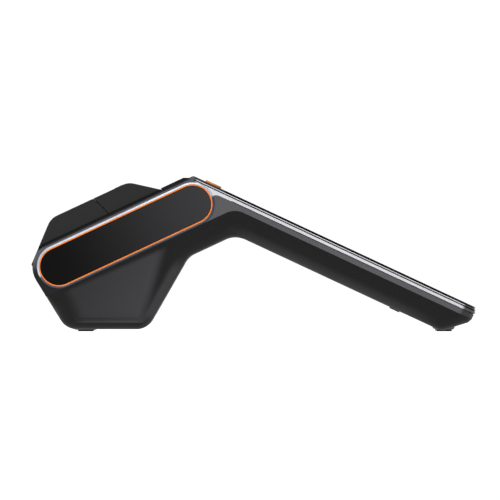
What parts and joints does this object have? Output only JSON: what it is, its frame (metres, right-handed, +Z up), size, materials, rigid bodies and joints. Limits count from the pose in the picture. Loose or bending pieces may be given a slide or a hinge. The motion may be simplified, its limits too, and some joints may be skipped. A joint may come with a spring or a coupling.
{
  "type": "handheld data terminal",
  "caption": "Handheld terminal with a sloping display slab and a head that holds a receipt printer under a hinged paper lid and a barcode scan window.",
  "frame": {"origin": "middle of the footprint, on the surface that the four feet stand on", "axes": "+X from the head to the tail of the slab, +Y to the side with the power key, +Z up"},
  "size_m": [0.2154, 0.082, 0.0751],
  "materials": {
    "black_plastic": "fine matte texture",
    "lid_plastic": "fine matte texture",
    "grey_plastic": "satin",
    "silver_trim": "satin silver",
    "panel_gloss": "piano gloss",
    "orange_plastic": "satin",
    "cover_glass": "gloss",
    "lcd": "gloss",
    "scan_glass": "gloss",
    "lens_glass": "gloss",
    "steel": "brushed",
    "aluminium": "satin",
    "nylon": "satin",
    "brass": "satin",
    "platen_rubber": "matte",
    "foot_rubber": "matte",
    "board": "solder mask",
    "connector": "moulded",
    "battery_wrap": "shrink wrap",
    "ceramic": "glazed",
    "copper": "satin",
    "paper": "thermal paper",
    "cardboard": "card"
  },
  "bodies": {
    "housing": {"lower_casing": "black_plastic", "upper_casing": "grey_plastic", "display_bezel": "silver_trim", "touch_glass": "cover_glass", "key_plate": "panel_gloss", "lcd_module": "lcd", "deck_panel": "black_plastic", "side_panel_left": "panel_gloss", "side_panel_right": "panel_gloss", "accent_ring_left": "orange_plastic", "accent_ring_right": "orange_plastic", "panel_bezel_left": "silver_trim", "panel_bezel_right": "silver_trim", "print_head_cover": "lid_plastic", "tear_bar": "steel", "paper_bucket": "black_plastic", "scan_bezel": "panel_gloss", "scan_window": "scan_glass", "scan_engine": "black_plastic", "scan_lens": "lens_glass", "print_frame": "steel", "thermal_head": "ceramic", "head_heatsink": "aluminium", "head_springs": "steel", "stepper_motor": "steel", "idler_pin": "steel", "lid_hinge_pin": "steel", "main_board": "board", "shield_cans": "aluminium", "board_connectors": "connector", "key_board": "board", "key_switches": "aluminium", "battery_pack": "battery_wrap", "battery_cover": "black_plastic", "cover_screws": "steel", "casing_screws": "steel", "speaker": "black_plastic", "vibration_motor": "steel", "usb_port": "steel", "nfc_antenna": "copper", "head_foot_pads": "foot_rubber", "tail_foot_bases": "black_plastic", "tail_foot_pads": "foot_rubber"},
    "lid": {"paper_lid": "lid_plastic", "lid_inner_frame": "black_plastic", "platen_bushings": "nylon"},
    "platen": {"platen_shaft": "steel", "platen_roller": "platen_rubber", "platen_gear": "nylon"},
    "idler": {"idler_gear": "nylon"},
    "pinion": {"motor_pinion": "brass", "motor_shaft": "steel"},
    "roll": {"paper_roll": "paper", "paper_core": "cardboard"},
    "release_button": {"lid_release_button": "orange_plastic"},
    "trigger_key": {"scan_key": "orange_plastic"},
    "power_button": {"power_key": "black_plastic"},
    "volume_rocker": {"volume_key": "black_plastic"}
  },
  "joints": [
    {"name": "lid_hinge", "type": "hinge", "parent": "housing", "child": "lid", "pos_m": [-0.1037, 0, 0.0298], "axis": [0, -1, 0], "range_deg": [0, 80]},
    {"name": "platen_spin", "type": "hinge", "parent": "lid", "child": "platen", "pos_m": [-0.07457, 0, 0.05512], "axis": [0, -1, 0], "continuous": true},
    {"name": "idler_spin", "type": "hinge", "parent": "housing", "child": "idler", "pos_m": [-0.06768, 0.0345, 0.0472], "axis": [0, -1, 0], "continuous": true},
    {"name": "pinion_spin", "type": "hinge", "parent": "housing", "child": "pinion", "pos_m": [-0.05914, 0.0345, 0.05136], "axis": [0, -1, 0], "continuous": true},
    {"name": "roll_spin", "type": "hinge", "parent": "housing", "child": "roll", "pos_m": [-0.0685, 0, 0.0253], "axis": [0, -1, 0], "continuous": true},
    {"name": "release_press", "type": "slide", "parent": "housing", "child": "release_button", "axis": [0.4226, 0, -0.9063], "range_m": [0, 0.0012], "stiffness_N_per_m": 1500},
    {"name": "scan_press", "type": "slide", "parent": "housing", "child": "trigger_key", "axis": [-0.4226, 0, -0.9063], "range_m": [0, 0.0008], "stiffness_N_per_m": 2500},
    {"name": "power_press", "type": "slide", "parent": "housing", "child": "power_button", "axis": [0, -1, 0], "range_m": [0, 0.0004], "stiffness_N_per_m": 3000},
    {"name": "volume_rock", "type": "hinge", "parent": "housing", "child": "volume_rocker", "pos_m": [0.03138, 0.0372, 0.03718], "axis": [0.4226, 0, 0.9063], "range_deg": [-1.5, 1.5], "stiffness_Nm_per_rad": 0.3}
  ],
  "couplings": [
    {"joint": "idler_spin", "follows": "platen_spin", "ratio": -0.75},
    {"joint": "pinion_spin", "follows": "platen_spin", "ratio": 1.2857}
  ]
}
